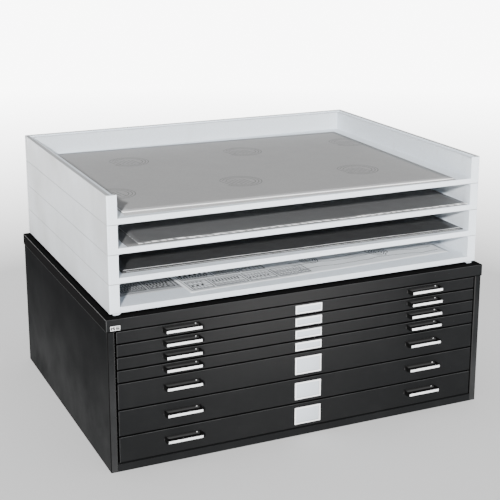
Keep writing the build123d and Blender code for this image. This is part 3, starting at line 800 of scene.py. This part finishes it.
class Pen:
    """Draws flat lines and patches on a leaf that lies on a slab, from reach[0] to reach[1] across
    it. `chance` is the source of its random draws."""

    def __init__(self, slab, lift, chance=None, reach=None):
        self.mesh = bmesh.new()
        self.slab, self.lift, self.chance = slab, lift, chance
        self.reach = reach or (0.0, slab.width)

    def point(self, x, y):
        place = self.slab.at(x, y)
        place.z = self.slab.low + self.lift(x / self.slab.width, y / self.slab.depth) + INK_RISE
        return self.mesh.verts.new(place)

    def runs(self, points):
        """The parts of a line that are on the leaf, cut at its left and right edges."""
        low, high = self.reach
        found, run = [], []
        for start, end in zip(points, points[1:]):
            ends = []
            for here, there in ((start, end), (end, start)):
                x = min(max(here[0], low), high)
                share = 0.0 if x == here[0] else (x - here[0]) / ((there[0] - here[0]) or 1.0)
                ends.append((x, here[1] + (there[1] - here[1]) * share))
            if max(start[0], end[0]) > low and min(start[0], end[0]) < high:
                run = run or [ends[0]]
                run.append(ends[1])
            leaves = ends[1][0] != end[0]
            if run and leaves:
                found.append(run)
                run = []
        return found + [run] if run else found

    def line(self, points, width):
        """A line of that width through points on the slab."""
        for run in self.runs(points):
            self.stroke(run, width)

    def stroke(self, points, width):
        """The strip of faces of one run."""
        rows = []
        last = len(points) - 1
        for k, (x, y) in enumerate(points):
            before, after = Vector(points[max(k - 1, 0)]), Vector(points[min(k + 1, last)])
            along = (after - before).normalized() * width / 2
            left = self.point(x - along.y, y + along.x)
            rows.append((left, self.point(x + along.y, y - along.x)))
        for (a, b), (c, d) in zip(rows, rows[1:]):
            self.mesh.faces.new((b, d, c, a))

    def straight(self, start, end, width):
        start, end = Vector(start), Vector(end)
        steps = max(1, round((end - start).length / 0.03))
        self.line([tuple(start.lerp(end, k / steps)) for k in range(steps + 1)], width)

    def frame(self, low, high, width):
        corners = [low, (high[0], low[1]), high, (low[0], high[1])]
        for k in range(4):
            self.straight(corners[k], corners[(k + 1) % 4], width)

    def patch(self, low, high):
        middle = (low[1] + high[1]) / 2
        self.straight((low[0], middle), (high[0], middle), high[1] - low[1])

    def elevation(self, low, high):
        """A framed panel of a building's face: storeys, bays, openings and dark parts."""
        chance = self.chance
        self.frame(low, high, 2.6 * MM)
        y = low[1] + 4 * MM
        while y < high[1] - 8 * MM:
            storey = min(chance.uniform(11, 22) * MM, high[1] - 3 * MM - y)
            self.straight((low[0], y), (high[0], y), 2.2 * MM)
            x, bay = low[0] + 5 * MM, chance.uniform(7, 17) * MM
            style = chance.random()
            while x < high[0] - bay:
                sill, head = y + 3 * MM, y + storey - 3 * MM
                if style < 0.45:
                    self.patch((x, sill), (x + bay * 0.55, head))
                elif style < 0.8:
                    self.frame((x, sill), (x + bay * 0.7, head), 1.5 * MM)
                else:
                    self.straight((x, y), (x, y + storey), 1.6 * MM)
                x += bay
            y += storey

    def panels(self, rows, corner, pitch, tall, wide, gap, right, taper=0):
        """Rows of elevations up from a corner, all in millimetres. Each row ends `taper` sooner."""
        for row in range(rows):
            x, y = corner[0] * MM, (corner[1] + row * pitch) * MM
            while x < (right - row * taper) * MM:
                width = self.chance.uniform(*wide) * MM
                self.elevation((x, y), (x + width, y + tall * MM))
                x += width + gap * MM

    def rings(self, middle, size, count, width, stretch, seed):
        """Uneven closed rings round a point, like contour lines, stretched along Y."""
        for ring in range(1, count + 1):
            points = []
            for k in range(49):
                angle = 2 * math.pi * k / 48
                way = Vector((math.cos(angle), math.sin(angle)))
                spot = Vector((way.x * 1.6, way.y * 1.6, seed + ring * 0.22))
                reach = size * ring / count * (1 + 0.3 * noise.noise(spot))
                points.append((middle[0] + way.x * reach, middle[1] + way.y * reach * stretch))
            self.line(points, width)

    def knot(self, middle, size):
        """A round mark of open arcs, with slanting strokes across its left half."""
        for ring in (1.0, 0.86, 0.7):
            points = []
            for k in range(37):
                angle = math.radians(-150 + 300 * k / 36)
                x = middle[0] + math.cos(angle) * size * ring
                points.append((x, middle[1] + math.sin(angle) * size * ring))
            self.line(points, RING_LINE)
        for k in range(7):
            x = middle[0] + (-0.8 + k * 0.19) * size
            tall = size * (0.25 + 0.3 * noise.noise(Vector((k * 1.7, 2, 5)))) + 0.02
            foot = (x + 0.2 * tall, middle[1] - tall)
            head = (x - 0.2 * tall, middle[1] + tall * 0.7)
            self.straight(foot, head, RING_LINE)

    def contours(self, low, high, count, width, seed):
        """Long wavy lines, like wood grain."""
        for k in range(count):
            y = low[1] + (high[1] - low[1]) * (k + self.chance.uniform(-0.3, 0.3)) / count
            points = []
            for i in range(61):
                x = low[0] + (high[0] - low[0]) * i / 60
                sway = noise.noise(Vector((x * 7, y * 5, seed)))
                sway += 0.4 * noise.noise(Vector((x * 23, y * 9, seed)))
                points.append((x, y + sway * 16 * MM))
            self.line(points, width)

    def done(self, name, material, body):
        piece(name, self.mesh, material, body)


def drawing(name, slab, shade, lift, replaces=()):
    """One sheet of drawing paper in the lowest tray."""
    mesh = bmesh.new()
    add_leaf(mesh, slab, (0, slab.width), (0, slab.depth), DRAWING_THICKNESS, lift)
    smooth(mesh)
    sheet = paper(name, shade)
    piece(f"tray_1_{name}", mesh, sheet, "tray_1", replaces=replaces)


def drawings():
    """The two drawings in the lowest tray: panels of a building's face on the left, and on the
    right contour lines and rings. No lettering."""
    chance = random.Random(31)
    first, second = slabs("tray_1_sheets")
    line_work = ink("drawing_ink", 0.006, 0.03)
    under_lift, over_lift = ripple(11, 0.4 * MM), ripple(13, 0.5 * MM)

    drawing("drawing_under", first, 0.36, under_lift, replaces=["tray_1_sheets"])
    pen = Pen(first, under_lift, chance)
    border = (first.width - 14 * MM, first.depth - 14 * MM)
    pen.frame((14 * MM, 12 * MM), border, 1.6 * MM)
    pen.panels(5, (24, 26), pitch=92, tall=76, wide=(70, 130), gap=9, right=400)
    pen.done("tray_1_drawing_under_ink", line_work, "tray_1")

    drawing("drawing_over", second, 0.7, over_lift)
    pen = Pen(second, over_lift, chance)
    corner = (10 * MM, 12 * MM)
    pen.straight(corner, (340 * MM, corner[1]), 2.2 * MM)
    pen.straight(corner, (corner[0], 550 * MM), 1.6 * MM)
    pen.panels(4, (18, 20), pitch=84, tall=70, wide=(60, 110), gap=8, right=300, taper=20)
    pen.contours((0.36, 0.05), (0.84, 0.52), 16, 2.6 * MM, 4.0)
    for x, y, size in CONTOUR_RINGS:
        pen.rings((x, y), size, 4, 2.4 * MM, 1.3, x * 9)
    pen.done("tray_1_drawing_over_ink", line_work, "tray_1")


# --------------------------------------------------------------------- studio
def studio():
    """Pale floor, one key light from the left in front, a sky that is brighter overhead than near
    the horizon, and the camera."""
    scene = bpy.context.scene
    mesh = bmesh.new()
    bmesh.ops.create_grid(mesh, x_segments=1, y_segments=1, size=FLOOR_SIZE)
    data = bpy.data.meshes.new("studio_floor")
    mesh.to_mesh(data)
    mesh.free()
    data.materials.append(pale_floor())
    floor = bpy.data.objects.new("studio_floor", data)
    scene.collection.objects.link(floor)

    sun = bpy.data.lights.new("key", "SUN")
    sun.energy = KEY_STRENGTH
    sun.angle = KEY_ANGLE
    key = bpy.data.objects.new("key", sun)
    key.rotation_euler = Vector(KEY_DIRECTION).to_track_quat("-Z", "Y").to_euler()
    scene.collection.objects.link(key)

    world = bpy.data.worlds.new("sky")
    world.use_nodes = True
    scene.world = world
    tree = world.node_tree
    background = tree.nodes["Background"]
    way = tree.nodes.new("ShaderNodeTexCoord")
    split = tree.nodes.new("ShaderNodeSeparateXYZ")
    rise = tree.nodes.new("ShaderNodeMapRange")
    blend = {"From Min": 0.3, "From Max": 0.75, "To Min": SKY_HORIZON, "To Max": SKY_OVERHEAD}
    for socket, value in blend.items():
        rise.inputs[socket].default_value = value
    tree.links.new(way.outputs["Generated"], split.inputs[0])
    tree.links.new(split.outputs["Z"], rise.inputs["Value"])
    tree.links.new(rise.outputs["Result"], background.inputs["Strength"])
    background.inputs["Color"].default_value = (1, 1, 1, 1)

    lens = bpy.data.cameras.new("camera")
    lens.lens = CAMERA_LENS
    lens.sensor_width = 36.0
    lens.shift_x, lens.shift_y = CAMERA_SHIFT
    camera = bpy.data.objects.new("camera", lens)
    camera.location = CAMERA_PLACE
    camera.rotation_euler = (math.pi / 2 + CAMERA_PITCH, 0, -CAMERA_YAW)
    scene.collection.objects.link(camera)
    scene.camera = camera


# ----------------------------------------------------------------------- make
def dress(nodes, material):
    """Gives CAD nodes their material."""
    for name in nodes:
        slots = NODES[name].data.materials
        slots.clear()
        slots.append(material)


def main():
    chance = random.Random(7)
    sides = enamel("side_enamel", 0.0095, 0.0125, shaded_returns=True, posts=True)
    cap = enamel("cap_enamel", 0.0115, 0.0145, cap=True, sheen=True)
    plain = enamel("inner_enamel", 0.012, 0.015)
    fronts = enamel("drawer_enamel", 0.0105, 0.0138, shaded_returns=True, sheen=True)
    screw, card = steel_screw(), card_stock()
    dress(["side_panel_left", "side_panel_right"], sides)
    dress(["top_cap"], cap)
    dress(["back_panel", "header_rail", "bottom_rail"], plain)
    dress(["runner_rack_left", "runner_rack_right"], plated_steel())
    dress([f"drawer_{n}_rollers" for n in DRAWERS], nylon())
    dress(["front_glides"], dark_nylon())
    dress(["name_plate"], badge_plate())
    dress([f"drawer_{n}_pan" for n in DRAWERS], plain)
    dress([f"drawer_{n}_front" for n in DRAWERS], fronts)
    for number in DRAWERS:
        dress([f"drawer_{number}_pulls"], pull_black(number))
    dress([f"drawer_{n}_pull_strips" for n in DRAWERS], bright_plate("strip_plate", 1.0))
    dress([f"drawer_{n}_label_holder" for n in DRAWERS], bright_plate("label_plate", 1.0))
    dress([f"tray_{n}" for n in TRAYS], tray_plastic())
    for number in DRAWERS:
        label_card(number, card)
        pull_screws(number, screw, chance)
    top_boards()
    filmed_boards()
    drawings()
    studio()


main()
